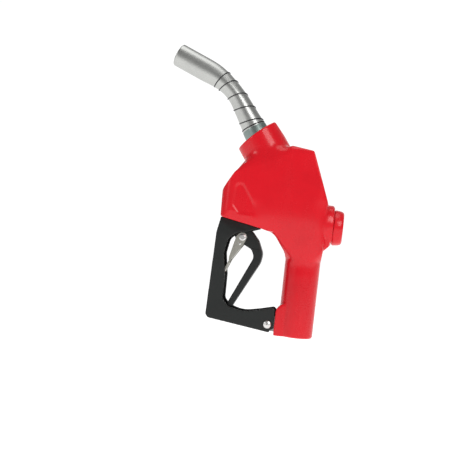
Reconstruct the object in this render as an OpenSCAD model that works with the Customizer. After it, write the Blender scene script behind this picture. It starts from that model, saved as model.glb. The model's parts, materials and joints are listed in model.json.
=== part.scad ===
// Automatic fuel dispensing nozzle, built as separate pieces. Millimetres.
// Origin: centre of the hose inlet face. +Z runs up the grip, +X points to the valve cap, y = 0 is the mid plane.

/* [Spout] */
// outside diameter of the spout tube at its tip
spout_od = 23.8; // [20:0.1:26]
// wall of the spout tube
spout_wall = 1.5; // [1:0.1:2.5]
// lean of the lower spout from the grip axis, degrees
spout_lean = 33.5; // [25:0.5:45]
// further bend of the spout, degrees
spout_bend = 33.1; // [20:0.1:60]
// centre line radius of the bend
bend_r = 80; // [60:1:110]
// straight length past the bend
tip_len = 39.5; // [30:0.5:60]
// wire radius of the anchor spring
wire_r = 0.55; // [0.5:0.05:1.2]
// turns of the anchor spring
wire_turns = 5.5; // [4:0.5:8]

/* [Grip] */
// radius of the covered grip
grip_r = 18; // [16:0.5:21]
// thickness of the soft cover
skin = 2.5; // [1.5:0.1:3.5]
// wall radius of the hose inlet thread (3/4 inch parallel, minor)
inlet_r = 12.06; // [11:0.01:14]
// depth of the inlet thread
inlet_len = 16; // [12:1:22]

/* [Head] */
// half thickness of the casting head
cast_hy = 23.5; // [20:0.5:28]
// depth of the moulded side panel in the cover
panel = 1.2; // [0.5:0.1:2]

/* [Lever] */
// half width of the lever bow
lever_hy = 7.5; // [6:0.5:9]
// half width of the lever guard
guard_hy = 14; // [11:0.5:16]
// sheet thickness of the guard
guard_t = 2.8; // [2:0.1:4]

/* [Hidden] */
$fn = 96;
e = 0.01;
W = 120;
skin_hy = cast_hy + skin;
spout_r = spout_od/2;
S0 = [-62.3, 203.5];
F = [-68, 130];
R = [-63.5, 95.1];
BOLT = [-28.3, 10.2];
vz = 115;
pl_a = 68.84;

// ---- helpers ----
function arc(a, b, c, r, n) =
  r <= 0 ? [b] :
  let (u = (a-b)/norm(a-b), v = (c-b)/norm(c-b), h = acos(max(-1, min(1, u*v)))/2,
       d = r/tan(h), p = b+u*d, q = b+v*d, m = (u+v)/norm(u+v), o = b+m*(r/sin(h)),
       t0 = atan2(p[1]-o[1], p[0]-o[0]), t1r = atan2(q[1]-o[1], q[0]-o[0]),
       dt = t1r-t0 > 180 ? t1r-t0-360 : (t1r-t0 < -180 ? t1r-t0+360 : t1r-t0))
  [for (i=[0:n]) o + r*[cos(t0+dt*i/n), sin(t0+dt*i/n)]];
function rnd(P, n=5) = let (L = len(P)) [for (i=[0:L-1])
  each arc([P[(i+L-1)%L][0], P[(i+L-1)%L][1]], [P[i][0], P[i][1]],
           [P[(i+1)%L][0], P[(i+1)%L][1]], P[i][2], n)];
// moves each side of a counter-clockwise outline inward by d, radii shrink or grow with it
function ins(P, d) = let (L = len(P)) [for (i=[0:L-1])
  let (a = [P[(i+L-1)%L][0], P[(i+L-1)%L][1]], b = [P[i][0], P[i][1]],
       c = [P[(i+1)%L][0], P[(i+1)%L][1]], u = (b-a)/norm(b-a), v = (c-b)/norm(c-b),
       nn = [-u[1], u[0]], mm = [-v[1], v[0]], q = b + d*(nn+mm)/(1+nn*mm),
       turn = u[0]*v[1]-u[1]*v[0])
  [q[0], q[1], P[i][2] <= 0 ? 0 : max(0.4, P[i][2] + (turn > 0 ? -d : d))]];
module slab(P, h) { rotate([90, 0, 0]) linear_extrude(height = h, center = true) polygon(P); }
module sides(P, y0, y1) {
  for (s=[-1, 1]) translate([0, s*(y0+y1)/2, 0]) slab(P, y1-y0);
}
module at(p) { translate([p[0], 0, p[1]]) children(); }
module ycyl(p, r, h) { at(p) rotate([90, 0, 0]) cylinder(r = r, h = h, center = true); }
module xcyl(x0, x1, r, r2 = -1) {
  translate([x0, 0, vz]) rotate([0, 90, 0]) cylinder(r1 = r, r2 = r2 < 0 ? r : r2, h = x1-x0);
}
module xring(x0, x1, r, ri) { difference() { xcyl(x0, x1, r); xcyl(x0-1, x1+1, ri); } }
module SP() { at(S0) rotate([0, -spout_lean, 0]) children(); }
module PL() { at(F) rotate([0, pl_a, 0]) children(); }
module cyl(z0, z1, r, r2 = -1) {
  translate([0, 0, z0]) cylinder(r1 = r, r2 = r2 < 0 ? r : r2, h = z1-z0);
}
module ring(z0, z1, r, ri) {
  rotate_extrude() polygon([[ri, z0], [r, z0], [r, z1], [ri, z1]]);
}
module torus(z, R0, r) { translate([0, 0, z]) rotate_extrude() translate([R0, 0]) circle(r = r, $fn = 32); }
module rrect(x0, x1, hy, r, z0, z1) {
  translate([0, 0, z0]) linear_extrude(height = z1-z0) union() {
    translate([x0+r, -hy]) square([x1-x0-2*r, 2*hy]);
    translate([x0, -hy+r]) square([x1-x0, 2*hy-2*r]);
    for (x=[x0+r, x1-r], y=[-hy+r, hy-r]) translate([x, y]) circle(r = r);
  }
}

// swept round wire: P = list of points, r = wire radius
function vunit(v) = v/norm(v);
function tang(P, i) = vunit(P[min(len(P)-1, i+1)] - P[max(0, i-1)]);
module wire(P, r, n = 8, up = [0.12, 0.31, 0.94]) {
  L = len(P);
  pts = [for (i=[0:L-1]) let (t = tang(P, i), a = vunit(cross(t, up)), b = cross(t, a))
    for (j=[0:n-1]) P[i] + r*(cos(360*j/n)*a + sin(360*j/n)*b)];
  f1 = [for (i=[0:L-2], j=[0:n-1]) [i*n+j, (i+1)*n+j, (i+1)*n+(j+1)%n, i*n+(j+1)%n]];
  polyhedron(points = pts, faces = concat(f1, [[for (j=[0:n-1]) j]],
    [[for (j=[n-1:-1:0]) (L-1)*n+j]]), convexity = 8);
}
// compression spring on the Z axis with one closed turn at each end
function spr_z(u, T, w) = u < 1 ? u*w : (u > T-1 ? 1-(T-u)*w : w + (u-1)*(1-2*w)/(T-2));
function coil(z0, z1, R0, r, T, m) = let (zz = z1-z0-2*r, w = 2.2*r/zz)
  [for (i=[0:T*m]) let (u = i/m) [R0*cos(360*u), R0*sin(360*u), z0+r+zz*spr_z(u, T, w)]];
module spring(z0, z1, R0, r, T, m = 20, n = 7) {
  L = T*m;
  P = coil(z0, z1, R0, r, T, m);
  pts = [for (i=[0:L]) let (a = 360*i/m) for (j=[0:n-1])
    P[i] + r*(cos(360*j/n)*[cos(a), sin(a), 0] + sin(360*j/n)*[0, 0, 1])];
  f1 = [for (i=[0:L-1], j=[0:n-1]) [i*n+j, i*n+(j+1)%n, (i+1)*n+(j+1)%n, (i+1)*n+j]];
  polyhedron(points = pts, faces = concat(f1, [[for (j=[n-1:-1:0]) j]],
    [[for (j=[0:n-1]) L*n+j]]), convexity = 8);
}

// ---- outlines, counter-clockwise in x, z ----
HEAD = [[-18.2, 79, 0], [18.2, 79, 0], [19.4, 92, 6], [19.4, 137.5, 3], [-0.3, 188.4, 3],
  [-23.6, 191.9, 5], [-43.8, 215.6, 1], [-78.3, 184.9, 1], [-69.5, 172.5, 2.5],
  [-88.5, 140.6, 3.5], [-87.3, 113.8, 2], [-44.2, 105.6, 10], [-31.5, 102.2, 14],
  [-19.2, 84.5, 10]];
// the block under the hood ends at the straight line between these corners
BLOCK = [[-120, 50, 0], [60, 50, 0], [60, 227.2, 0], [-120, 151.2, 0]];
module head_env(d, hy) {
  intersection() {
    slab(rnd(ins(HEAD, d)), W);
    union() {
      // side profile of the head, rounded at its upright edges
      intersection() {
        rrect(-88.5+d, 19.4-d+e, hy, 11-d/2, 60, 200);
        slab(rnd(ins(BLOCK, d)), W);
        rotate([0, 90, 0]) translate([0, 0, -100]) linear_extrude(height = 140) union() {
          translate([-193+d, -hy+9]) square([80, 2*hy-18]);
          translate([-184+d, -hy]) square([64, 2*hy]);
          for (s=[-1, 1]) translate([-184+d, s*(hy-9)]) circle(r = 9);
          polygon([[-121, -hy], [-121, hy], [-76, grip_r+0.6-d], [-76, d-grip_r-0.6]]);
        }
        // the shoulder narrows to the round grip
        rotate_extrude() polygon([[0, 74], [14.6-d, 74], [39-d, 104], [160, 104], [160, 240], [0, 240]]);
      }
      SP() cyl(-48, 12, 25.2-d, 23.4-d);
      cyl(60, 116, grip_r-d);
    }
  }
}
module lug_env(d, hy) {
  // foot of the grip that carries the guard bolt
  slab([[-12, 0], [-12, 33], [-16.4+d, 32], [-20.6+d, 27.6], [-21.3+d, 24], [-21.3+d, 0]],
    2*hy);
}
module tongue_lug(hy) {
  difference() {
    slab(rnd([[-10, 3.2, 0], [-10, 17.5, 0], [-26, 17.5, 3], [-34, 14, 4], [-34, 6.5, 4],
      [-28, 4, 3]], 4), 2*hy);
    ycyl(BOLT, 2.6, 60);
  }
}

// ---- body ----
module body_casting() color([0.72, 0.73, 0.74]) difference() {
  union() {
    cyl(0, 100, grip_r-skin);
    difference() { head_env(skin, cast_hy); chamber(); }
    lug_env(skin, 11.5);
    tongue_lug(11);
    xcyl(-16, 24, 17.6);
    intersection() { slab(rnd(ins(HEAD, skin)), W); union() {
      xcyl(-20, -6, 15.5);
      PL() cyl(17, 64, 12);
      PL() cyl(60, 73, 21.3);
      xcyl(-48, -36, 8);
      SP() cyl(-36, -10, 20.5);
    } }
    intersection() { slab(rnd(ins(HEAD, skin)), 24.5);
      translate([-88, -20, 104]) cube([48, 40, 40]); }
  }
  // hose inlet and fuel way up the grip
  cyl(-1, inlet_len, inlet_r);
  cyl(inlet_len-1, vz, 10);
  // main valve chamber, seat and port
  xcyl(-4, 30, 14.5);
  xcyl(-8, 0, 13);
  xcyl(-34, 0, 9);
  // gland
  xcyl(-60, -43, 6);
  xcyl(-60, -40, 5.4);
  xcyl(-60, -30, 3.05);
  // pocket for the lever head
  pocket(8.5);
  // latch plunger way
  PL() { cyl(-10, 27, 4.05); cyl(26, 31, 6.05); cyl(30, 80, 9); cyl(64, 90, 14); cyl(71, 99, 21.9); }
  PL() for (a=[45:90:360]) rotate([0, 0, a]) translate([18, 0, 62]) cylinder(r = 1.5, h = 12);
  // spout socket
  SP() { cyl(-34, 20, 15); cyl(-10, 30, 21.2); cyl(-52, -30, 12); }
  // guard screws
  for (s=[-1, 1]) translate([-83, s*4.5, 108]) cylinder(r = 1.5, h = 17);
}
module pocket(hy) {
  slab([[-81, 100], [-42.5, 100], [-42.5, 109.5], [-48, 109.5], [-48, 136.5], [-52, 140.5],
    [-77, 140.5], [-81, 136.5]], 2*hy);
}
module chamber() {
  slab(rnd([[-40, 110, 2], [-12, 110, 2], [-12, 135, 3], [-3.7, 136, 3], [-19, 178, 6],
    [-29.3, 184.5, 4], [-57.7, 165.7, 6], [-80, 147, 4], [-44, 147, 3], [-40, 143, 3]], 3), 37);
}

module body_cover() color([0.80, 0.10, 0.14]) difference() {
  union() {
    cyl(0, 100, grip_r);
    head_env(0, skin_hy);
    lug_env(0, 14);
    slab([[8, 82], [18, 84], [18.8, 89.6], [24.4, 95.4], [24.6, 112], [8, 112]], 26);
    translate([0, 0, vz+1.6]) rotate([0, 90, 0]) rotate_extrude()
      polygon([[0, 2], [20.7, 2], [20.7, 24.6], [20.1, 25.4], [18.6, 26.7], [0, 26.7]]);
  }
  head_env(skin, cast_hy);
  cyl(-1, 100, grip_r-skin);
  translate([0, 0, -1]) lug_env(skin, 11.5);
  lug_env(skin, 11.5);
  xcyl(-16, 24, 17.6);
  xcyl(20, 30, 17.4);
  tongue_window();
  pocket(8.5);
  PL() cyl(60, 81.7, 21.9);
  SP() cyl(-16, 30, 20);
  for (s=[-1, 1]) translate([-83, s*4.5, 108]) cylinder(r = 1.5, h = 17);
  // recessed side panel
  sides(rnd([[-46, 117.4, 2], [-67.6, 149.2, 4], [-74.6, 147.5, 5], [-75.6, 126, 5],
    [-69, 118.6, 5]], 4), skin_hy-panel, skin_hy+3);
}
module tongue_window() {
  slab([[-10, 3.2], [-10, 17.5], [-40, 17.5], [-40, 3.2]], 22);
}

// ---- main valve ----
module valve_cap() color([0.75, 0.76, 0.77]) difference() {
  union() { xcyl(17, 24, 14.5); xcyl(24, 27, 17.2); xcyl(27-e, 34.2, 14.8); }
  xcyl(16, 23.5, 11);
  difference() { xcyl(19.6, 22.4, 16); xcyl(19, 23, 12.4); }
}
module valve_cap_boot() color([0.80, 0.10, 0.14]) difference() {
  translate([0, 0, vz]) rotate([0, 90, 0]) rotate_extrude()
    polygon(rnd([[0, 27, 0], [18, 27, 0.4], [17.3, 33, 3], [15.8, 36.6, 2.4], [0, 36.6, 0]], 6));
  xcyl(20, 34.2, 14.8);
}
module valve_cap_oring() color([0.1, 0.1, 0.1])
  translate([21, 0, vz]) rotate([0, 90, 0]) torus(0, 13.42, 1);
module main_valve_spring() color([0.75, 0.75, 0.77])
  translate([0, 0, vz]) rotate([0, 90, 0]) spring(4, 23.5, 9, 0.9, 5);
module valve_seat() color([0.80, 0.80, 0.78]) xring(-8, -4.2, 13, 9);
module stem_gland_nut() color([0.75, 0.62, 0.35]) difference() {
  xring(-48, -43, 6, 3.05);
  translate([-49, -7, vz-0.8]) cube([2.2, 14, 1.6]);
}
module stem_packing() color([0.15, 0.15, 0.15]) xring(-43, -40, 5.4, 3.05);
module main_stem() color([0.80, 0.81, 0.82]) difference() {
  union() { xcyl(-64.4, 10, 3); xcyl(-6.9, -4.1, 4.4); }
  difference() { xcyl(6, 11, 4); xcyl(5, 12, 2.6); }
}
module main_poppet() color([0.78, 0.66, 0.40]) difference() {
  union() { xcyl(-0.9, 2.2, 12.6); xcyl(2.2-e, 4, 7.6); }
  xcyl(-3, 8, 3);
}
module poppet_disc() color([0.08, 0.08, 0.08]) xring(-4.1, -0.9, 12, 3);
module poppet_nut() color([0.75, 0.62, 0.35]) difference() {
  translate([4, 0, vz]) rotate([0, 90, 0]) cylinder(r = 5.4, h = 3.6, $fn = 6);
  xcyl(5.9, 9, 2.6); xcyl(3, 6.01, 3);
}

// ---- spout ----
inner_r = spout_r - spout_wall;
sp_w1 = 33.5;
module bend(r, ri, off = 0) {
  SP() translate([-bend_r, 0, sp_w1]) rotate([90, 0, 0])
    difference() {
      rotate_extrude(angle = spout_bend) translate([bend_r-off, 0]) circle(r = r);
      rotate_extrude(angle = spout_bend) translate([bend_r-off, 0]) circle(r = ri);
    }
}
module TIP() {
  SP() translate([-bend_r, 0, sp_w1]) rotate([0, -spout_bend, 0]) translate([bend_r, 0, 0]) children();
}
module spout_tube() color([0.72, 0.73, 0.72]) difference() {
  union() {
    SP() rotate_extrude() polygon([[inner_r, -11], [13.8, -11], [13.8, 1], [spout_r, sp_w1],
      [inner_r, sp_w1]]);
    bend(spout_r, inner_r);
    TIP() rotate_extrude() polygon([[inner_r-0.05, -0.4], [spout_r+0.05, -0.4],
      [spout_r+0.05, tip_len-1.4], [spout_r-0.35, tip_len-0.4], [spout_r-1, tip_len],
      [inner_r-0.05, tip_len]]);
  }
  // vent port through the wall near the tip
  TIP() translate([-10, 0, tip_len-9]) rotate([0, -90, 0]) cylinder(r = 2.2, h = 6, $fn = 32);
}
module spout_adapter() color([0.72, 0.73, 0.74]) SP() difference() {
  ring(-34, -11, 15, 11.5);
  for (z=[-28, -22]) ring(z-1.02, z+1.02, 16, 13);
}
module spout_orings() color([0.09, 0.09, 0.09]) SP() for (z=[-28, -22]) torus(z, 14, 0.98);
module spout_nut() color([0.70, 0.71, 0.72]) SP() difference() {
  rotate_extrude() polygon([[13.8, -11], [14.95, -11], [14.95, -10], [19.8, -10], [19.8, -7.6],
    [18.4, -7.2], [18.4, -5], [17.8, -4.6], [13.8, -4.6]]);
  for (a=[0:60:359]) rotate([0, 0, a]) translate([18.4, 0, -7.5]) cylinder(r = 2, h = 6, $fn = 32);
}
// point on the spout centre line at arc length w, and its outward normal in the mid plane
function sp_a(w) = spout_lean + (w < sp_w1 ? 0 : min(spout_bend, (w-sp_w1)*180/(PI*bend_r)));
function rotp(a, p) = [p[0]*cos(a)-p[1]*sin(a), p[0]*sin(a)+p[1]*cos(a)];
function sp_c(w) =
  w <= sp_w1 ? S0 + rotp(spout_lean, [0, w]) :
  let (a = (w-sp_w1)*180/(PI*bend_r)) a <= spout_bend ?
    S0 + rotp(spout_lean, [-bend_r+bend_r*cos(a), sp_w1+bend_r*sin(a)]) :
    S0 + rotp(spout_lean, [-bend_r, sp_w1])
       + rotp(spout_lean+spout_bend, [bend_r, w-sp_w1-bend_r*spout_bend*PI/180]);
function tube_r(w) = w < 1 ? 13.8 : (w < sp_w1 ? 13.8+(spout_r-13.8)*(w-1)/(sp_w1-1) : spout_r);
function wind(u) = let (T = wire_turns) u < 1 ? 6.5+2.4*u :
  (u > T-1 ? 61.4+5.1*(u-T+1) : 8.9+52.5*(u-1)/(T-2));
module spout_anchor_spring() color([0.16, 0.16, 0.17]) {
  m = 30; n = 8; L = wire_turns*m;
  fr = [for (i=[0:L]) let (u = i/m, w = wind(u), c = sp_c(w), a = sp_a(w),
      N = [cos(a), 0, sin(a)], q = cos(360*u)*N - sin(360*u)*[0, 1, 0],
      T = [-sin(a), 0, cos(a)], rr = tube_r(w)+wire_r+0.08)
    [[c[0], 0, c[1]]+rr*q, q, T]];
  pts = [for (i=[0:L], j=[0:n-1])
    fr[i][0] + wire_r*(cos(360*j/n)*fr[i][1] + sin(360*j/n)*fr[i][2])];
  f1 = [for (i=[0:L-1], j=[0:n-1]) [i*n+j, i*n+(j+1)%n, (i+1)*n+(j+1)%n, (i+1)*n+j]];
  polyhedron(points = pts, faces = concat(f1, [[for (j=[n-1:-1:0]) j]],
    [[for (j=[0:n-1]) L*n+j]]), convexity = 8);
}
module vent_tube() color([0.80, 0.72, 0.50]) difference() {
  union() {
    SP() translate([-7, 0, 0]) ring(-10.9, sp_w1, 2.2, 1.4);
    bend(2.2, 1.4, 7);
    TIP() translate([-7, 0, 0]) difference() { cyl(-0.4, tip_len-7.2, 2.25); cyl(-1, tip_len-8.4, 1.35); }
  }
  TIP() translate([-7.8, 0, tip_len-9]) rotate([0, -90, 0]) cylinder(r = 1.2, h = 6);
}
module vent_ferrule() color([0.80, 0.72, 0.50]) TIP() difference() {
  translate([-9.2-0.02, 0, tip_len-9]) rotate([0, -90, 0]) cylinder(r = 2.1, h = 2.5, $fn = 32);
  translate([-8, 0, tip_len-9]) rotate([0, -90, 0]) cylinder(r = 1.2, h = 6, $fn = 32);
}
module check_valve_seat() color([0.75, 0.62, 0.35]) SP() ring(-34, -28.1, 11.5, 8);
module check_valve_poppet() color([0.12, 0.12, 0.12]) SP() union() {
  cyl(-28, -25.5, 9.6); cyl(-25.5-e, -11, 2);
}
module check_valve_spring() color([0.75, 0.75, 0.77]) SP() spring(-25.5, -15, 4, 0.5, 5, 18, 6);
module check_valve_guide() color([0.30, 0.30, 0.32]) SP() difference() {
  union() {
    ring(-15, -11.2, 11.5, 9.5);
    cyl(-15, -11.2, 3.6);
    for (a=[0:90:359]) rotate([0, 0, a+45]) translate([3, -0.9, -14.4]) cube([7.4, 1.8, 2.6]);
  }
  cyl(-16, -5, 2.06);
}

// ---- latch plunger and automatic shut-off ----
module plunger() color([0.78, 0.79, 0.80]) difference() {
  union() {
    intersection() {
      PL() union() { cyl(-5.2, 40, 4); cyl(40-e, 62, 6); }
      translate([-90, -6.1, 100]) cube([120, 12.2, 90]);
    }
  }
  ycyl(F, 2.56, 30);
  PL() cyl(45, 63, 3.1);
  PL() for (a=[0:120:359]) rotate([0, 0, a]) translate([0, 0, 50.6]) rotate([0, 90, 0])
    cylinder(r = 1.66, h = 8, $fn = 32);
}
module locking_balls() color([0.85, 0.86, 0.88]) PL() for (a=[0:120:359]) rotate([0, 0, a])
  translate([4.95, 0, 50.6]) sphere(r = 1.6, $fn = 32);
module plunger_sleeve() color([0.66, 0.67, 0.70]) PL() difference() {
  ring(31, 48.8, 9, 6.06);
  for (a=[0:120:359]) rotate([0, 0, a]) translate([4.95, 0, 30]) cylinder(r = 1.75, h = 20, $fn = 32);
}
module plunger_spring() color([0.75, 0.75, 0.77]) PL() spring(27, 40, 5, 0.5, 7, 18, 6);
module latch_pin() color([0.80, 0.81, 0.82]) PL() union() {
  cyl(46.5, 49, 2, 3); cyl(49-e, 69, 3); cyl(69-e, 73.6, 2.2);
}
module diaphragm() color([0.13, 0.13, 0.14]) PL() difference() {
  ring(71, 72, 21.3, 2.2);
  for (a=[45:90:360]) rotate([0, 0, a]) translate([18, 0, 70]) cylinder(r = 1.5, h = 4);
}
module diaphragm_plates() color([0.74, 0.75, 0.77]) PL() union() {
  ring(70, 71, 9, 2.2); ring(72, 73, 9, 2.2);
}
module diaphragm_spring() color([0.75, 0.75, 0.77]) PL() spring(73, 79.4, 6.4, 0.5, 4, 18, 6);
module diaphragm_cap() color([0.70, 0.71, 0.72]) PL() difference() {
  union() { cyl(72, 79.2, 21.3); cyl(79.2-e, 81.2, 15, 14); }
  cyl(71, 79.4, 13.6);
  for (a=[45:90:360]) rotate([0, 0, a]) translate([18, 0, 70]) cylinder(r = 1.6, h = 12);
}
module diaphragm_cap_screws() color([0.82, 0.83, 0.84]) PL() for (a=[45:90:360]) rotate([0, 0, a])
  translate([18, 0, 0]) difference() {
    union() { cyl(63, 79.3, 1.48); cyl(79.2, 81, 2.7); }
    translate([-0.45, -4, 80.3]) cube([0.9, 8, 2]);
  }

// ---- lever, clip ----
LEV = [[-73, 24.5, 2.4], [-67.8, 21.6, 2.6], [-42.6, 71, 16], [-41.3, 80.5, 12], [-46.7, 93.4, 10], [-54.2, 101.9, 4],
  [-62.5, 105.6, 4], [-67.2, 111.5, 1], [-67.2, 119.5, 2], [-61.6, 127, 3], [-61.6, 136.4, 6], [-74.4, 136.4, 6],
  [-74.4, 122, 6], [-72.4, 112, 5], [-72.4, 97, 6], [-69.5, 90.4, 5], [-61.5, 87.6, 3], [-53.2, 83.6, 6],
  [-49.8, 76, 8]];
module lever() color([0.12, 0.12, 0.13]) difference() {
  union() {
    intersection() {
      slab(rnd(LEV, 4), 2*lever_hy);
      union() {
        translate([-80, -lever_hy, 0]) cube([60, 2*lever_hy, 84]);
        translate([-80, -7, 80]) cube([60, 14, 70]);
      }
    }
    ycyl([-68, vz], 3.5, 12);
  }
  // slot for the plunger eye
  slab([[-80, 120.5], [-56, 123.5], [-56, 145], [-80, 145]], 8.6);
  ycyl(F, 2.5, 30);
  // room for the torsion spring round the rivet
  slab(rnd([[-69.2, 80, 0], [-58.2, 80, 0], [-58.2, 98, 4], [-61, 100.4, 4], [-66, 100.4, 4], [-69.2, 98, 4]], 3), 6.4);
  ycyl(R, 2.2, 30);
}
module lever_pin() color([0.80, 0.81, 0.82]) ycyl(F, 2.5, 14);
CLIP = [[-79.7, 58.2, 0.5], [-78.2, 57.4, 0.5], [-73.2, 70.4, 1], [-61, 89.5, 3], [-58.5, 96.2, 4.4],
  [-61.5, 100, 4.4], [-66.4, 99.6, 4.4], [-70.2, 95, 4], [-75.1, 73.6, 1.2], [-75, 70, 0.8]];
module hold_open_clip() color([0.70, 0.70, 0.68]) difference() {
  union() {
    sides(rnd(CLIP, 4), 7.3, 8.5);
    slab([[-73.4, 71.2], [-72.2, 72.8], [-65.2, 83.8], [-66.2, 84.5]], 16.9);
    slab([[-79.3, 58.5], [-78.4, 58.2], [-74.7, 67.6], [-75.6, 68]], 16.9);
  }
  ycyl(R, 2.26, 40);
}
module clip_rivet() color([0.83, 0.84, 0.85]) union() {
  ycyl(R, 2.2, 17.2);
  for (s=[-1, 1]) at(R) rotate([s*90, 0, 0]) translate([0, 0, 8.58]) union() {
    cylinder(r = 3.8, h = 0.7); translate([0, 0, 0.7-e]) cylinder(r1 = 3.5, r2 = 2.4, h = 0.6);
  }
}
module clip_spring() color([0.72, 0.73, 0.74]) at(R) rotate([90, 0, 0])
  wire(concat([[-5.1, -12.6, -2.3]],
    [for (i=[0:64]) let (a = 180+i*360/20) [3.4*cos(a), 3.4*sin(a), -2.2+4.4*i/64]],
    [[4.2, -1.9, 2.3], [4.3, 1.6, 2.3]]), 0.55, 8, [0.02, 0.03, 1]);

// ---- guard ----
GUARD = [[-87.3, 113.8, 1], [-90.3, 98.3, 20], [-92.3, 13.4, 1.2], [-89.4, 10, 1.4], [-25.9, 2.3, 0], [-24.9, 5.4, 0],
  [-21.9, 6.2, 1], [-21.9, 25.2, 1], [-24.4, 27.4, 2], [-38, 23.8, 30], [-56, 20, 30], [-70.6, 24.4, 8], [-76.4, 30.6, 6], [-76.8, 55.5, 20],
  [-80.2, 77.5, 14], [-77.4, 92.4, 8], [-69, 99.4, 12], [-59.4, 101, 12], [-45.8, 105.9, 0.4]];
module lever_guard() color([0.14, 0.14, 0.14]) difference() {
  union() {
    slab(rnd(GUARD, 5), 2*guard_hy);
  }
  // channel between the cheeks
  slab(rnd([[-80.2, 118, 0], [-80.2, 109.6, 1], [-85.9, 109.6, 0.4], [-87.5, 97.7, 16], [-89.4, 15, 1.5],
    [-87.4, 12.6, 1.5], [-36, 6.4, 6], [-31, 3.7, 3], [-27.5, -3, 0], [-10, -3, 0], [-10, 118, 0]], 4),
    2*(guard_hy-guard_t));
  for (s=[-1, 1]) translate([-83, s*4.5, 105]) cylinder(r = 1.5, h = 14);
  ycyl(BOLT, 2.6, 60);
  // clears the covered grip
  cyl(-5, 40, grip_r+0.3);
  slab([[-5, -5], [-21.6, -5], [-21.6, 24.1], [-18.3, 34], [-5, 34]], 40);
}
module hold_open_rack() color([0.66, 0.67, 0.68]) slab([[-88.77, 36], [-87.2, 36], [-87.2, 40],
  [-85.8, 41.5], [-87.2, 43], [-87.2, 47], [-85.8, 48.5], [-87.2, 50], [-86.7, 72], [-87.98, 72]], 12);
module guard_bolt() color([0.84, 0.85, 0.86]) union() {
  translate([0, 1.6, 0]) ycyl(BOLT, 2.6, 31.2);
  at(BOLT) rotate([90, 0, 0]) translate([0, 0, guard_hy]) rotate_extrude()
    polygon([[0, 0], [4.1, 0], [4.1, 0.7], [3.6, 1.5], [2.4, 2.2], [0, 2.5]]);
}
module guard_nut() color([0.80, 0.81, 0.82]) at(BOLT) rotate([-90, 0, 0]) difference() {
  translate([0, 0, guard_hy]) cylinder(r = 4.4, h = 3.4, $fn = 6);
  cylinder(r = 2.6, h = 30);
}
module guard_screws() color([0.82, 0.83, 0.84]) for (s=[-1, 1]) translate([-83, s*4.5, 0]) difference() {
  union() { cyl(109, 123, 1.5); cyl(107.4, 109.6, 2.3); }
  translate([-0.4, -4, 106.9]) cube([0.8, 8, 1.2]);
}
module inlet_strainer() color([0.76, 0.66, 0.42]) difference() {
  union() { ring(16, 17.4, 9.98, 9); cyl(17.4-e, 34, 9.6, 5); }
  translate([0, 0, 0]) cyl(17.3, 33.2, 9, 4.4);
  cyl(15, 18, 8.9);
  for (a=[0:45:359]) rotate([0, 0, a]) translate([3, -1, 19.5]) cube([9, 2, 11]);
}

body_casting();
body_cover();
valve_cap();
valve_cap_boot();
valve_cap_oring();
main_valve_spring();
valve_seat();
stem_gland_nut();
stem_packing();
main_stem();
main_poppet();
poppet_disc();
poppet_nut();
spout_adapter();
spout_orings();
spout_nut();
spout_tube();
spout_anchor_spring();
vent_tube();
vent_ferrule();
check_valve_seat();
check_valve_poppet();
check_valve_spring();
check_valve_guide();
plunger();
plunger_sleeve();
plunger_spring();
locking_balls();
latch_pin();
diaphragm();
diaphragm_plates();
diaphragm_spring();
diaphragm_cap();
diaphragm_cap_screws();
lever();
lever_pin();
hold_open_clip();
clip_rivet();
clip_spring();
lever_guard();
hold_open_rack();
guard_bolt();
guard_nut();
guard_screws();
inlet_strainer();
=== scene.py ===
"""Fuel nozzle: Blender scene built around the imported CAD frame, in its units and axes."""

import json
import math

import bmesh
import bpy
import numpy as np
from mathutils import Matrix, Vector


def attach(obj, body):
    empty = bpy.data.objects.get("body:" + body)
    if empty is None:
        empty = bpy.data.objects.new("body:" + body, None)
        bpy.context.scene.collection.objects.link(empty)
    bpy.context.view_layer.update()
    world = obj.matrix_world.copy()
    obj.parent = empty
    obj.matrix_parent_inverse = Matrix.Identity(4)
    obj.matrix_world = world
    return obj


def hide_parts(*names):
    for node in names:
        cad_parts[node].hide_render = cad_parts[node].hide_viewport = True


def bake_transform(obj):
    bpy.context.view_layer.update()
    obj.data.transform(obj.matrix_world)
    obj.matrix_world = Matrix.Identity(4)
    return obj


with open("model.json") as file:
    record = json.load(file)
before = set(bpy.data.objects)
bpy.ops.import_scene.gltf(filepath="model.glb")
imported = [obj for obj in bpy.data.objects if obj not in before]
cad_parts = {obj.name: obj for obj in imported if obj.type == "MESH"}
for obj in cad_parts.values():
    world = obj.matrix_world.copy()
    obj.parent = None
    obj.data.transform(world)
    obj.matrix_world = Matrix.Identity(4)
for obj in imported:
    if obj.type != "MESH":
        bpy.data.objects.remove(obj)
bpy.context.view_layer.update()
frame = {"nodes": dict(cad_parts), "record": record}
MM = 0.001


# ---------------------------------------------------------------- camera
def make_camera():
    cam = bpy.data.cameras.new("camera")
    ob = bpy.data.objects.new("camera", cam)
    bpy.context.scene.collection.objects.link(ob)
    target = Vector((-0.0701, 0.0, 0.0946))
    azimuth = math.radians(6.0)
    distance = 0.858
    ob.location = target + distance * Vector((math.sin(azimuth), -math.cos(azimuth), 0.0))
    look = (target - ob.location).normalized()
    roll = math.radians(6.5)
    right = look.cross(Vector((0, 0, 1))).normalized()
    up = right.cross(look).normalized()
    up = (up * math.cos(roll) - right * math.sin(roll)).normalized()
    right = look.cross(up).normalized()
    m = ob.matrix_world.copy()
    for i in range(3):
        m[i][0], m[i][1], m[i][2] = right[i], up[i], -look[i]
        m[i][3] = ob.location[i]
    ob.matrix_world = m
    cam.lens = 63.2
    cam.sensor_width = 36
    cam.clip_start = 0.01
    bpy.context.scene.camera = ob


make_camera()


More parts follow.
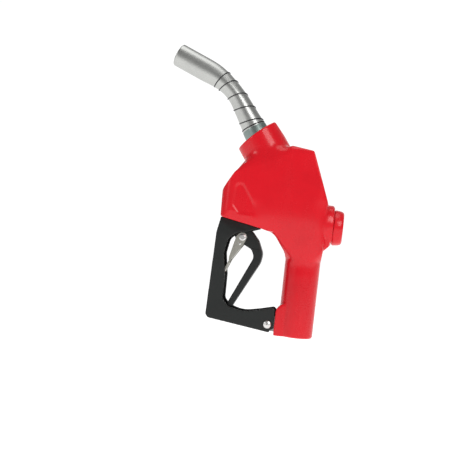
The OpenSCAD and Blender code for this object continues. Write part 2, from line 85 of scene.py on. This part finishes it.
# ---------------------------------------------------------------- node helpers
class Nodes:
    """Short calls for building a material's node tree."""

    def __init__(self, name):
        self.m = bpy.data.materials.new(name)
        self.m.use_nodes = True
        self.t = self.m.node_tree
        self.t.nodes.clear()
        self.out = self.t.nodes.new("ShaderNodeOutputMaterial")
        self.b = self.t.nodes.new("ShaderNodeBsdfPrincipled")
        self.t.links.new(self.b.outputs[0], self.out.inputs[0])
        self.co = self.t.nodes.new("ShaderNodeTexCoord").outputs["Object"]

    def link(self, a, b):
        self.t.links.new(a, b)

    def noise(self, scale, detail=3.0, rough=0.55, stretch=None, distort=0.0):
        n = self.t.nodes.new("ShaderNodeTexNoise")
        n.inputs["Scale"].default_value = scale
        n.inputs["Detail"].default_value = detail
        n.inputs["Roughness"].default_value = rough
        n.inputs["Distortion"].default_value = distort
        src = self.co
        if stretch:
            mp = self.t.nodes.new("ShaderNodeMapping")
            mp.inputs["Rotation"].default_value = stretch[1]
            mp.inputs["Scale"].default_value = stretch[0]
            self.link(src, mp.inputs["Vector"])
            src = mp.outputs[0]
        self.link(src, n.inputs["Vector"])
        return n.outputs["Fac"]

    def ramp(self, src, stops):
        r = self.t.nodes.new("ShaderNodeValToRGB")
        e = r.color_ramp.elements
        while len(e) < len(stops):
            e.new(0.5)
        for k, (pos, col) in zip(e, stops):
            k.position = pos
            k.color = (*col, 1.0) if len(col) == 3 else (col[0], col[0], col[0], 1.0)
        self.link(src, r.inputs[0])
        return r.outputs[0]

    def remap(self, src, a, b, lo=0.3, hi=0.7):
        r = self.t.nodes.new("ShaderNodeMapRange")
        r.inputs["From Min"].default_value = lo
        r.inputs["From Max"].default_value = hi
        r.inputs["To Min"].default_value = a
        r.inputs["To Max"].default_value = b
        self.link(src, r.inputs["Value"])
        return r.outputs[0]

    def math(self, op, a, b):
        n = self.t.nodes.new("ShaderNodeMath")
        n.operation = op
        for i, v in enumerate((a, b)):
            if isinstance(v, (int, float)):
                n.inputs[i].default_value = v
            else:
                self.link(v, n.inputs[i])
        return n.outputs[0]

    def mix(self, fac, a, b):
        n = self.t.nodes.new("ShaderNodeMix")
        n.data_type = "RGBA"
        for sock, v in ((n.inputs[0], fac), (n.inputs[6], a), (n.inputs[7], b)):
            if isinstance(v, (tuple, list)):
                sock.default_value = (*v, 1.0)
            elif isinstance(v, (int, float)):
                sock.default_value = v
            else:
                self.link(v, sock)
        return n.outputs[2]

    def edge(self, lo, hi):
        """1 on sharp convex edges, 0 elsewhere."""
        g = self.t.nodes.new("ShaderNodeNewGeometry")
        return self.remap(g.outputs["Pointiness"], 0.0, 1.0, lo, hi)

    def bump(self, src, strength, dist=0.0002, normal=None):
        n = self.t.nodes.new("ShaderNodeBump")
        n.inputs["Strength"].default_value = strength
        n.inputs["Distance"].default_value = dist
        self.link(src, n.inputs["Height"])
        if normal is not None:
            self.link(normal, n.inputs["Normal"])
        return n.outputs[0]

    def put(self, **k):
        names = {
            "base": "Base Color", "metal": "Metallic", "rough": "Roughness", "normal": "Normal",
            "spec": "Specular IOR Level", "coat": "Coat Weight", "coat_rough": "Coat Roughness",
        }
        for key, v in k.items():
            s = self.b.inputs[names[key]]
            if isinstance(v, tuple):
                s.default_value = (*v, 1.0)
            elif isinstance(v, (int, float)):
                s.default_value = v
            else:
                self.link(v, s)
        return self.m


def srgb(r, g, b):
    """8-bit sRGB to linear colour."""
    def f(c):
        c /= 255
        return c / 12.92 if c <= 0.04045 else ((c + 0.055) / 1.055) ** 2.4

    return (f(r), f(g), f(b))


def scaled(col, k):
    return tuple(min(1.0, c * k) for c in col)


# ---------------------------------------------------------------- materials
def red_vinyl():
    n = Nodes("red_vinyl")
    red = srgb(216, 17, 32)
    tone = n.noise(26, 4, 0.6)
    base = n.ramp(tone, [(0.30, scaled(red, 0.90)), (0.55, red), (0.80, scaled(red, 1.05))])
    scuff = n.noise(150, 6, 0.72, distort=0.6)
    base = n.mix(n.remap(scuff, 0.0, 0.16, 0.60, 0.82), base, srgb(160, 16, 26))
    smear = n.noise(60, 3, 0.6, stretch=((1.0, 1.0, 0.3), (0, 0, 0)))
    rough = n.math("ADD", n.remap(smear, 0.20, 0.31), n.remap(n.noise(900, 3), -0.02, 0.03))
    nrm = n.bump(n.noise(420, 2, 0.5), 0.06, 0.0003, n.bump(n.noise(2600, 3, 0.6), 0.04, 0.00008))
    return n.put(base=base, rough=rough, normal=nrm, spec=0.30, coat=0.10, coat_rough=0.06)


def satin_metal(name, col, lo, hi, grain, direction, bump=0.12, streak=0.06, vary=0.05):
    """Turned or drawn metal: long fine streaks, slight cloudiness and a soft lustre."""
    n = Nodes(name)
    lines = n.noise(grain, 5, 0.65, stretch=direction)
    cloud = n.noise(45, 4, 0.6)
    c1 = n.ramp(lines, [(0.25, scaled(col, 1 - streak * 2)), (0.75, scaled(col, 1 + streak))])
    base = n.mix(n.remap(cloud, 0.0, 0.30, 0.45, 0.75), c1, scaled(col, 0.86))
    rough = n.math("ADD", n.remap(cloud, lo, hi), n.remap(lines, -vary, vary))
    nrm = n.bump(lines, bump, 0.00008)
    return n.put(base=base, rough=rough, metal=1.0, normal=nrm)


THREAD_PITCH, THREAD_R, THREAD_DEPTH = 0.001814, 0.0125, 0.0155  # 14 to the inch, in metres


def cast_metal(name, col):
    n = Nodes(name)
    rough = 0.55
    grit = n.noise(1500, 4, 0.6)
    cloud = n.noise(60, 4, 0.6)
    base = n.ramp(cloud, [(0.3, scaled(col, 0.84)), (0.7, scaled(col, 1.05))])
    nrm = n.bump(grit, 0.35, 0.0002, n.bump(n.noise(260, 3), 0.2, 0.0005))
    # thread in the hose inlet: a helix, only inside the bore
    xyz = n.t.nodes.new("ShaderNodeSeparateXYZ")
    n.link(n.co, xyz.inputs[0])
    x, y, z = xyz.outputs
    r = n.math("SQRT", n.math("ADD", n.math("MULTIPLY", x, x), n.math("MULTIPLY", y, y)), 0.0)
    turn = n.math("DIVIDE", n.math("ARCTAN2", y, x), 2 * math.pi)
    phase = n.math("PINGPONG", n.math("ADD", n.math("DIVIDE", z, THREAD_PITCH), turn), 0.5)
    inside = n.math("MULTIPLY", n.math("LESS_THAN", r, THREAD_R),
                    n.math("LESS_THAN", z, THREAD_DEPTH))
    nrm = n.bump(n.math("MULTIPLY", phase, inside), 1.0, 0.0022, nrm)
    return n.put(base=base, metal=0.95, rough=n.remap(grit, rough - 0.1, rough + 0.12), normal=nrm)


def black_coat(name, col, rough, worn):
    """Stoved black coating with a fine orange peel, thin and paler along the edges."""
    n = Nodes(name)
    cloud = n.noise(55, 4, 0.6)
    base = n.ramp(cloud, [(0.28, scaled(col, 0.85)), (0.72, scaled(col, 1.15))])
    dust = n.noise(240, 6, 0.75, distort=0.4)
    base = n.mix(n.remap(dust, 0.0, 0.06, 0.55, 0.80), base, worn)
    patchy = n.remap(n.noise(500, 4), 0.05, 0.45, 0.4, 0.65)
    edge = n.math("MULTIPLY", n.edge(0.54, 0.66), patchy)
    base = n.mix(edge, base, worn)
    nrm = n.bump(n.noise(1700, 3, 0.55), 0.07, 0.0002)
    return n.put(base=base, rough=n.remap(cloud, rough - 0.06, rough + 0.08), normal=nrm, spec=0.35)


def rubber(name, col):
    n = Nodes(name)
    base = n.ramp(n.noise(120, 4), [(0.3, scaled(col, 0.8)), (0.7, scaled(col, 1.3))])
    nrm = n.bump(n.noise(2400, 3), 0.2, 0.0001)
    return n.put(base=base, rough=n.remap(n.noise(600, 3), 0.55, 0.75), normal=nrm)


ALU = srgb(206, 208, 206)
# (scale, rotation) of the streaks in a metal
EVEN = ((1, 1, 1), (0, 0, 0))
ACROSS_Y = ((1, 6, 1), (0, 0, 0))
ACROSS_Z = ((1, 1, 6), (0, 0, 0))
FINE_Z = ((1, 1, 9), (0, 0, 0))
ROLLED = ((6, 1, 1), (0, 0.5, 0))
M = {
    "casting": cast_metal("cast_aluminium", srgb(186, 188, 188)),
    "red_vinyl": red_vinyl(),
    "machined": satin_metal("machined_aluminium", ALU, 0.28, 0.42, 420, FINE_Z),
    "steel": satin_metal("bright_steel", srgb(220, 220, 218), 0.30, 0.40, 600, ACROSS_Y, 0.02),
    "spring_steel": satin_metal("spring_steel", srgb(178, 178, 180), 0.24, 0.38, 900, EVEN),
    # painted shade: the anchor spring wire's dark grey base colour stands in for the shade on the
    # round wire
    "dark_spring": satin_metal("spring_wire_painted_shade", srgb(74, 74, 76), 0.30, 0.46, 900, EVEN, 0.15),
    "brass": satin_metal("brass", srgb(200, 168, 98), 0.26, 0.40, 500, ACROSS_Z),
    "nitrile": rubber("nitrile", srgb(26, 26, 26)),
    "black_nylon": rubber("black_nylon", srgb(30, 30, 32)),
    "black_coated": black_coat("black_coated", srgb(27, 30, 29), 0.46, srgb(66, 69, 68)),
    "zinc_sheet": satin_metal("zinc_sheet", srgb(176, 175, 166), 0.34, 0.52, 380, ROLLED, 0.2),
    "spout": satin_metal("spout_aluminium", srgb(188, 189, 186), 0.34, 0.40, 700, EVEN, 0.002,
                         streak=0.015, vary=0.015),
    "sleeve": satin_metal("sleeve_aluminium", srgb(136, 148, 144), 0.36, 0.48, 700, EVEN, 0.01,
                          streak=0.03),
}

SLOTS = {s["node"]: s["material_slot"] for s in frame["record"]["subparts"]}
NODES = frame["nodes"]


def smooth_by_angle(ob, deg):
    for p in ob.data.polygons:
        p.use_smooth = True
    bm = bmesh.new()
    bm.from_mesh(ob.data)
    for e in bm.edges:
        e.smooth = len(e.link_faces) == 2 and e.calc_face_angle(0) < math.radians(deg)
    bm.to_mesh(ob.data)
    bm.free()


def new_mat(ob, mat):
    ob.data.materials.clear()
    ob.data.materials.append(mat)


for name, ob in NODES.items():
    new_mat(ob, M[SLOTS[name]])


def add_bevel(ob, width):
    b = ob.modifiers.new("bevel", "BEVEL")
    b.width = width
    b.segments = 2
    b.limit_method = "ANGLE"
    b.angle_limit = math.radians(32)
    b.miter_outer = "MITER_ARC"
    w = ob.modifiers.new("normals", "WEIGHTED_NORMAL")
    w.keep_sharp = True


# ---------------------------------------------------------------- mesh helpers
def mesh_object(name, verts, faces, body, mat):
    me = bpy.data.meshes.new(name)
    me.from_pydata([tuple(v) for v in verts], [], faces)
    me.validate()
    ob = bpy.data.objects.new(name, me)
    bpy.context.scene.collection.objects.link(ob)
    bm = bmesh.new()
    bm.from_mesh(me)
    bmesh.ops.recalc_face_normals(bm, faces=bm.faces)
    bm.to_mesh(me)
    bm.free()
    for p in me.polygons:
        p.use_smooth = True
    me.materials.append(mat)
    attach(ob, body)
    return ob


def evaluated_mesh(ob, name):
    dg = bpy.context.evaluated_depsgraph_get()
    return bpy.data.meshes.new_from_object(ob.evaluated_get(dg), depsgraph=dg,
                                           preserve_all_data_layers=False)


def moulded_copy(node, name, voxel, iterations):
    """A copy of a CAD node with its corners softened the way a moulding's are."""
    src = NODES[node]
    ob = bpy.data.objects.new(name + "_tmp", src.data.copy())
    bpy.context.scene.collection.objects.link(ob)
    r = ob.modifiers.new("r", "REMESH")
    r.mode = "VOXEL"
    r.voxel_size = voxel
    r.adaptivity = 0.0
    s = ob.modifiers.new("s", "SMOOTH")
    s.factor = 0.5
    s.iterations = iterations
    me = evaluated_mesh(ob, name)
    bpy.data.objects.remove(ob)
    return me


def coords(me):
    co = np.empty(len(me.vertices) * 3, np.float32)
    me.vertices.foreach_get("co", co)
    return co.reshape(-1, 3).astype(np.float64)


def set_coords(me, co):
    me.vertices.foreach_set("co", co.astype(np.float32).ravel())
    me.update()


def relax(me, weight, rounds):
    """Slide each vertex toward the mean of its neighbours, by weight (0..1) each round."""
    co = coords(me)
    n = len(co)
    e = np.empty(len(me.edges) * 2, np.int32)
    me.edges.foreach_get("vertices", e)
    a, b = e.reshape(-1, 2).T
    cnt = np.bincount(a, minlength=n) + np.bincount(b, minlength=n)
    for _ in range(rounds):
        mean = np.stack([np.bincount(a, co[b, k], n) + np.bincount(b, co[a, k], n)
                         for k in range(3)], 1)
        co += (mean / cnt[:, None] - co) * weight[:, None] * 0.7
    set_coords(me, co)


def ramp01(x, lo, hi):
    """Smooth step from 0 at lo to 1 at hi."""
    t = np.clip((x - lo) / (hi - lo), 0, 1)
    return t * t * (3 - 2 * t)


def finish_piece(me, name, body, slot, node):
    """Thin the mesh to half its faces and let the piece stand for its CAD node."""
    ob = bpy.data.objects.new(name, me)
    bpy.context.scene.collection.objects.link(ob)
    d = ob.modifiers.new("decimate", "DECIMATE")
    d.ratio = 0.5
    new = evaluated_mesh(ob, name)
    ob.modifiers.clear()
    ob.data = new
    for p in new.polygons:
        p.use_smooth = True
    new_mat(ob, M[slot])
    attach(ob, body)
    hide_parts(node)


# ---------------------------------------------------------------- spout, on the CAD's centre line
LEAN, BEND = math.radians(33.5), math.radians(33.1)
S0 = np.array([-62.3, 203.5])
BEND_R, W1, TIP = 80.0, 33.5, 39.5
ARC = BEND_R * BEND
SPOUT_R, WALL = 11.9, 1.5


def rot2(a, p):
    c, s = math.cos(a), math.sin(a)
    return np.array([p[0] * c - p[1] * s, p[0] * s + p[1] * c])


def centre(w):
    """(point in x, z in mm, lean) of the spout's centre line at arc length w."""
    if w <= W1:
        return S0 + rot2(LEAN, (0, w)), LEAN
    a = (w - W1) / BEND_R
    if a <= BEND:
        arc = (-BEND_R + BEND_R * math.cos(a), W1 + BEND_R * math.sin(a))
        return S0 + rot2(LEAN, arc), LEAN + a
    straight = rot2(LEAN + BEND, (BEND_R, w - W1 - ARC))
    return S0 + rot2(LEAN, (-BEND_R, W1)) + straight, LEAN + BEND


def tube_radius(w):
    """(in the plane of the bend, across it), in mm: the bend is flatter than the round tip."""
    if w > W1 + ARC + 6:
        return SPOUT_R + 0.02, SPOUT_R + 0.02
    at = np.linspace(w - 5, w + 5, 9)
    flat = np.interp(at, (-5, 5, 12, 28, 43, 56, 66, 80, 86),
                     (12.9, 12.4, 11.6, 10.4, 9.3, 9.35, 10.5, 11.8, 11.92))
    wide = np.interp(at, (-5, 12, 30, 70, 86), (12.9, 12.2, 12.0, 12.0, 11.92))
    return flat.mean(), wide.mean()


def swept_ring(w, grow, seg):
    """Cross-section of the spout at arc length w, grown by grow mm."""
    p, a = centre(w)
    n = np.array([math.cos(a), 0, math.sin(a)])
    y = np.array([0, 1.0, 0])
    c = np.array([p[0], 0, p[1]])
    t = np.linspace(0, 2 * math.pi, seg, endpoint=False)
    ri, ry = tube_radius(w)
    out = (ri + grow) * np.cos(t)[:, None] * n + (ry + grow) * np.sin(t)[:, None] * y
    return (c + out) * MM


def loft(rings, closed=False):
    seg = len(rings[0])
    verts = np.vstack(rings)
    faces = []
    for i in range(len(rings) - (0 if closed else 1)):
        a, b = i * seg, ((i + 1) % len(rings)) * seg
        for j in range(seg):
            k = (j + 1) % seg
            faces.append((a + j, a + k, b + k, b + j))
    return verts, faces


def make_spout():
    seg = 128
    start, end = -11, W1 + ARC + TIP
    outer = [(w, 0) for w in np.linspace(start, end - 2.2, 110)]
    lip = [(end - 1.5, 0.0), (end - 0.9, -0.10), (end - 0.42, -0.36), (end - 0.12, -0.76),
           (end, -1.06), (end - 0.05, -1.30), (end - 0.5, -1.5)]
    inner = [(w, -WALL) for w in np.linspace(end - 2, start, 60)]
    v, f = loft([swept_ring(w, g, seg) for w, g in outer + lip + inner], closed=True)
    ob = mesh_object("spout_tube_skin", v, f, "nozzle_body", M["spout"])
    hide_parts("spout_tube")
    smooth_by_angle(ob, 50)
    # the darker sleeve between the last turn of the spring and the hood
    sleeve = [(-4, 0.1), (5.2, 0.1), (5.5, 0.32), (5.0, 0.42), (-4, 0.42)]
    v, f = loft([swept_ring(w, g, seg) for w, g in sleeve], closed=True)
    ob = mesh_object("spout_sleeve", v, f, "nozzle_body", M["sleeve"])
    smooth_by_angle(ob, 50)


def winding(u):
    """Arc length along the spout after u turns of the spring: close turns at both ends."""
    if u < 1:
        return 6.5 + 2.4 * u
    return 8.9 + 15 * (u - 1) if u < 4.5 else 61.4 + 6.6 * (u - 4.5)


def make_anchor_spring():
    """Round wire wound on the spout, tapering over its first and last points."""
    turns, wire = 5.5, 0.55
    sunk = 0.2
    taper = (0.35, 0.75, 0.92, 0.99)
    m, n = 72, 14
    pts, frames = [], []
    for i in range(int(turns * m) + 1):
        u = i / m
        w = winding(u)
        p, a = centre(w)
        nn = np.array([math.cos(a), 0, math.sin(a)])
        t = math.radians(360 * u)
        ri, ry = tube_radius(w)
        y = np.array([0, 1.0, 0])
        q = math.cos(t) * nn / ri - math.sin(t) * y / ry
        q /= np.linalg.norm(q)
        at = math.cos(t) * ri * nn - math.sin(t) * ry * y
        pts.append(np.array([p[0], 0, p[1]]) + at + sunk * q)
        frames.append(q)
    pts = np.array(pts)
    tan = np.gradient(pts, axis=0)
    tan /= np.linalg.norm(tan, axis=1)[:, None]
    rings = []
    last = len(pts) - 1
    for i, (p, q, t) in enumerate(zip(pts, frames, tan)):
        b = np.cross(t, q)
        b /= np.linalg.norm(b)
        g = min(i, last - i)
        r = wire * (taper[g] if g < len(taper) else 1.0)
        a = np.linspace(0, 2 * math.pi, n, endpoint=False)
        rings.append((p + r * (np.cos(a)[:, None] * q + np.sin(a)[:, None] * b)) * MM)
    v, f = loft(rings)
    f.append(tuple(range(n)))
    f.append(tuple(reversed(range(len(v) - n, len(v)))))
    # the coil takes the dark wire material, whose dark base colour is painted shade, not a darker
    # steel
    ob = mesh_object("spout_anchor_coil", v, f, "nozzle_body", M["dark_spring"])
    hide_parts("spout_anchor_spring")


# ---------------------------------------------------------------- red cover
def make_cover():
    fine = 0.0008
    voxel = fine
    k = (fine / voxel) ** 2
    me = moulded_copy("body_cover", "cover_skin", voxel, max(2, round(4 * k)))
    co = coords(me) / MM
    x, y, z = co.T
    far = ramp01(np.abs(y), 9, 15)
    # the flat sides run into the round hood and into the round grip without an edge
    # line: mm from the hood's root, which leaves the head's corner at (-23.6, 191.9)
    line = (z - 191.9) - 0.4227 * (x + 23.6)
    hood = ramp01(10 - np.abs(line), 0, 6) * ramp01(-22 - x, 0, 6)
    nrm = np.empty(len(co) * 3, np.float32)
    me.vertex_normals.foreach_get("vector", nrm)
    face = ramp01(np.abs(nrm.reshape(-1, 3)[:, 1]), 0.55, 0.85)
    grip = ramp01(z, 62, 78) * ramp01(142 - z, 0, 12) * ramp01(x + 56, 0, 8) * face
    relax(me, np.maximum(hood, grip) * far, round(170 * k))
    # the open end of the grip is rounded
    co = coords(me)
    round_r, inner_r, outer_r = 0.0024, 0.0140, 0.0184
    r = np.hypot(co[:, 0], co[:, 1])
    low = (co[:, 2] < round_r) & (r > inner_r) & (r < outer_r)
    lim = 0.0156 + np.sqrt(np.maximum(0, round_r ** 2 - (round_r - co[:, 2]) ** 2))
    f = np.where(low & (r > lim), lim / r, 1.0)
    co[:, 0] *= f
    co[:, 1] *= f
    set_coords(me, co)
    finish_piece(me, "cover_skin", "nozzle_body", "red_vinyl", "body_cover")


def make_boot():
    """Soft cap over the valve cap, tucked into the collar so no metal shows between them."""
    # (x, radius) in mm, turned about the main valve's axis, which is parallel to X
    profile = [(26.2, 14.9), (26.2, 17.2), (26.9, 17.25), (27.05, 17.7), (27.4, 18.0),
               (28.2, 18.05), (31.5, 17.7), (33.6, 17.3), (34.9, 16.8), (35.8, 16.1),
               (36.35, 15.2), (36.58, 14.2), (36.6, 12.0), (36.6, 0.02), (34.25, 0.02),
               (34.25, 14.9)]
    axis_z, seg = 115.0, 96
    t = np.linspace(0, 2 * math.pi, seg, endpoint=False)
    rings = [np.stack([np.full(seg, x), r * np.cos(t), axis_z + r * np.sin(t)], 1) * MM
             for x, r in profile]
    v, f = loft(rings, closed=True)
    ob = mesh_object("valve_cap_boot_skin", v, f, "nozzle_body", M["red_vinyl"])
    smooth_by_angle(ob, 40)
    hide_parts("valve_cap_boot")


# ---------------------------------------------------------------- lever, guard, clip
def make_guard():
    voxel = 0.0007
    me = moulded_copy("lever_guard", "lever_guard_skin", voxel, 3)
    co = coords(me) / MM
    x, y, z = co.T
    # the cheek's top corner is a second, slightly sloping facet
    a, b = np.array([-86.2, 108.9]), np.array([-71.8, 99.6])
    d = (b - a) / np.linalg.norm(b - a)
    away = -(x - a[0]) * d[1] + (z - a[1]) * d[0]
    skin = ramp01(np.abs(y), 12.4, 13.2)
    y -= np.sign(y) * skin * np.clip(away, 0, 9) * 0.11
    set_coords(me, np.stack([x, y, z], 1) * MM)
    finish_piece(me, "lever_guard_skin", "nozzle_body", "black_coated", "lever_guard")


def make_lever():
    voxel = 0.0006
    me = moulded_copy("lever", "lever_skin", voxel, 4)
    finish_piece(me, "lever_skin", "squeeze_lever", "black_coated", "lever")


def make_clip_pin():
    """Small stop pin in each cheek of the clip, below the rivet."""
    at_x, at_z, seg = -65.4, 88.2, 32
    # (distance from the mid plane, radius) in mm
    profile = [(7.2, 1.35), (8.7, 1.35), (8.95, 1.2), (9.05, 0.95), (9.05, 0.02), (7.2, 0.02)]
    t = np.linspace(0, 2 * math.pi, seg, endpoint=False)
    for side, name in ((-1, "clip_pin_front"), (1, "clip_pin_back")):
        rings = [np.stack([at_x + r * np.cos(t), np.full(seg, side * h),
                           at_z + r * np.sin(t)], 1) * MM for h, r in profile]
        v, f = loft(rings, closed=True)
        ob = mesh_object(name, v, f, "hold_open", M["steel"])
        smooth_by_angle(ob, 40)


def fold_spring(node):
    """A copy of the spring's CAD mesh in spring steel, baked in place, with the CAD node hidden."""
    slot = "spring_steel"
    ob = bpy.data.objects.new(node + "_coil", NODES[node].data.copy())
    bpy.context.scene.collection.objects.link(ob)
    new_mat(ob, M[slot])
    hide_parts(node)
    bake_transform(ob)


def make_springs():
    latch, latch_dir = (-68, 130), (0.932576, 0.360974)
    spout_dir = (-0.551937, 0.833886)
    fold_spring("main_valve_spring")
    for node, body, origin, way, pushed, fixed in (
            ("check_valve_spring", "check_valve", S0, spout_dir, -25.5, -15),
            ("plunger_spring", "latch_plunger", latch, latch_dir, 40, 27),
            ("diaphragm_spring", "shutoff_latch", latch, latch_dir, 73, 79.4)):
        fold_spring(node)


# ---------------------------------------------------------------- floor and light
def make_floor():
    me = bpy.data.meshes.new("floor")
    s = 12.0  # half its side, in metres
    me.from_pydata([(-s, -s, 0), (s, -s, 0), (s, s, 0), (-s, s, 0)], [], [(0, 1, 2, 3)])
    ob = bpy.data.objects.new("floor", me)
    ob.location = (0, 0, -0.02)  # clear of the grip's foot at Z = 0
    bpy.context.scene.collection.objects.link(ob)
    n = Nodes("floor")
    n.b.inputs["Base Color"].default_value = (0.62, 0.62, 0.62, 1)
    n.b.inputs["Roughness"].default_value = 1.0
    n.b.inputs["Specular IOR Level"].default_value = 0.0
    n.b.inputs["Emission Color"].default_value = (1, 1, 1, 1)
    # painted light: the floor glows by emission as the studio light would light it, and the painted
    # glow falls off behind the camera
    sep = n.t.nodes.new("ShaderNodeSeparateXYZ")
    n.link(n.co, sep.inputs[0])
    n.link(n.remap(sep.outputs["Y"], 0.28, 0.86, -1.1, -0.45), n.b.inputs["Emission Strength"])
    me.materials.append(n.m)


def make_world():
    world = bpy.data.worlds.new("studio")
    bpy.context.scene.world = world
    world.use_nodes = True
    t = world.node_tree
    bg = t.nodes["Background"]
    bg.inputs[1].default_value = 1.0
    # white backdrop straight behind the nozzle (+Y), a dim studio everywhere else
    sep = t.nodes.new("ShaderNodeSeparateXYZ")
    t.links.new(t.nodes.new("ShaderNodeTexCoord").outputs["Generated"], sep.inputs[0])
    half = t.nodes.new("ShaderNodeMapRange")
    half.inputs["From Min"].default_value = -1.0
    t.links.new(sep.outputs["Y"], half.inputs["Value"])
    r = t.nodes.new("ShaderNodeValToRGB")
    t.links.new(half.outputs[0], r.inputs[0])
    e = r.color_ramp.elements
    e.new(0.5)
    e.new(0.6)
    for k, (pos, v) in zip(e, ((0.0, 0.24), (0.45, 0.20), (0.88, 0.40), (0.955, 1.1))):
        k.position = pos
        k.color = (v, v, v, 1)
    t.links.new(r.outputs[0], bg.inputs[0])
    bpy.context.scene.view_settings.view_transform = "Standard"


def make_lights():
    aim = Vector((-0.06, 0, 0.14))
    for name, loc, size, power in (("key", (0.46, -0.70, 0.60), 0.46, 4.0),
                                   ("wide", (-0.95, -0.72, 0.40), 0.30, 1.5),
                                   ("top", (-0.05, -0.1, 1.1), 0.7, 2.6)):
        light = bpy.data.lights.new(name, "AREA")
        light.shape = "RECTANGLE"
        light.size = light.size_y = size
        light.energy = power
        ob = bpy.data.objects.new(name, light)
        ob.location = loc
        ob.rotation_euler = (aim - Vector(loc)).to_track_quat("-Z", "Y").to_euler()
        bpy.context.scene.collection.objects.link(ob)


make_floor()
make_world()
make_lights()
make_spout()
make_anchor_spring()
make_cover()
make_boot()
make_guard()
make_lever()
make_clip_pin()
make_springs()

for node, width in (("hold_open_clip", 0.00025), ("guard_bolt", 0.0002), ("spout_nut", 0.0003)):
    add_bevel(NODES[node], width)
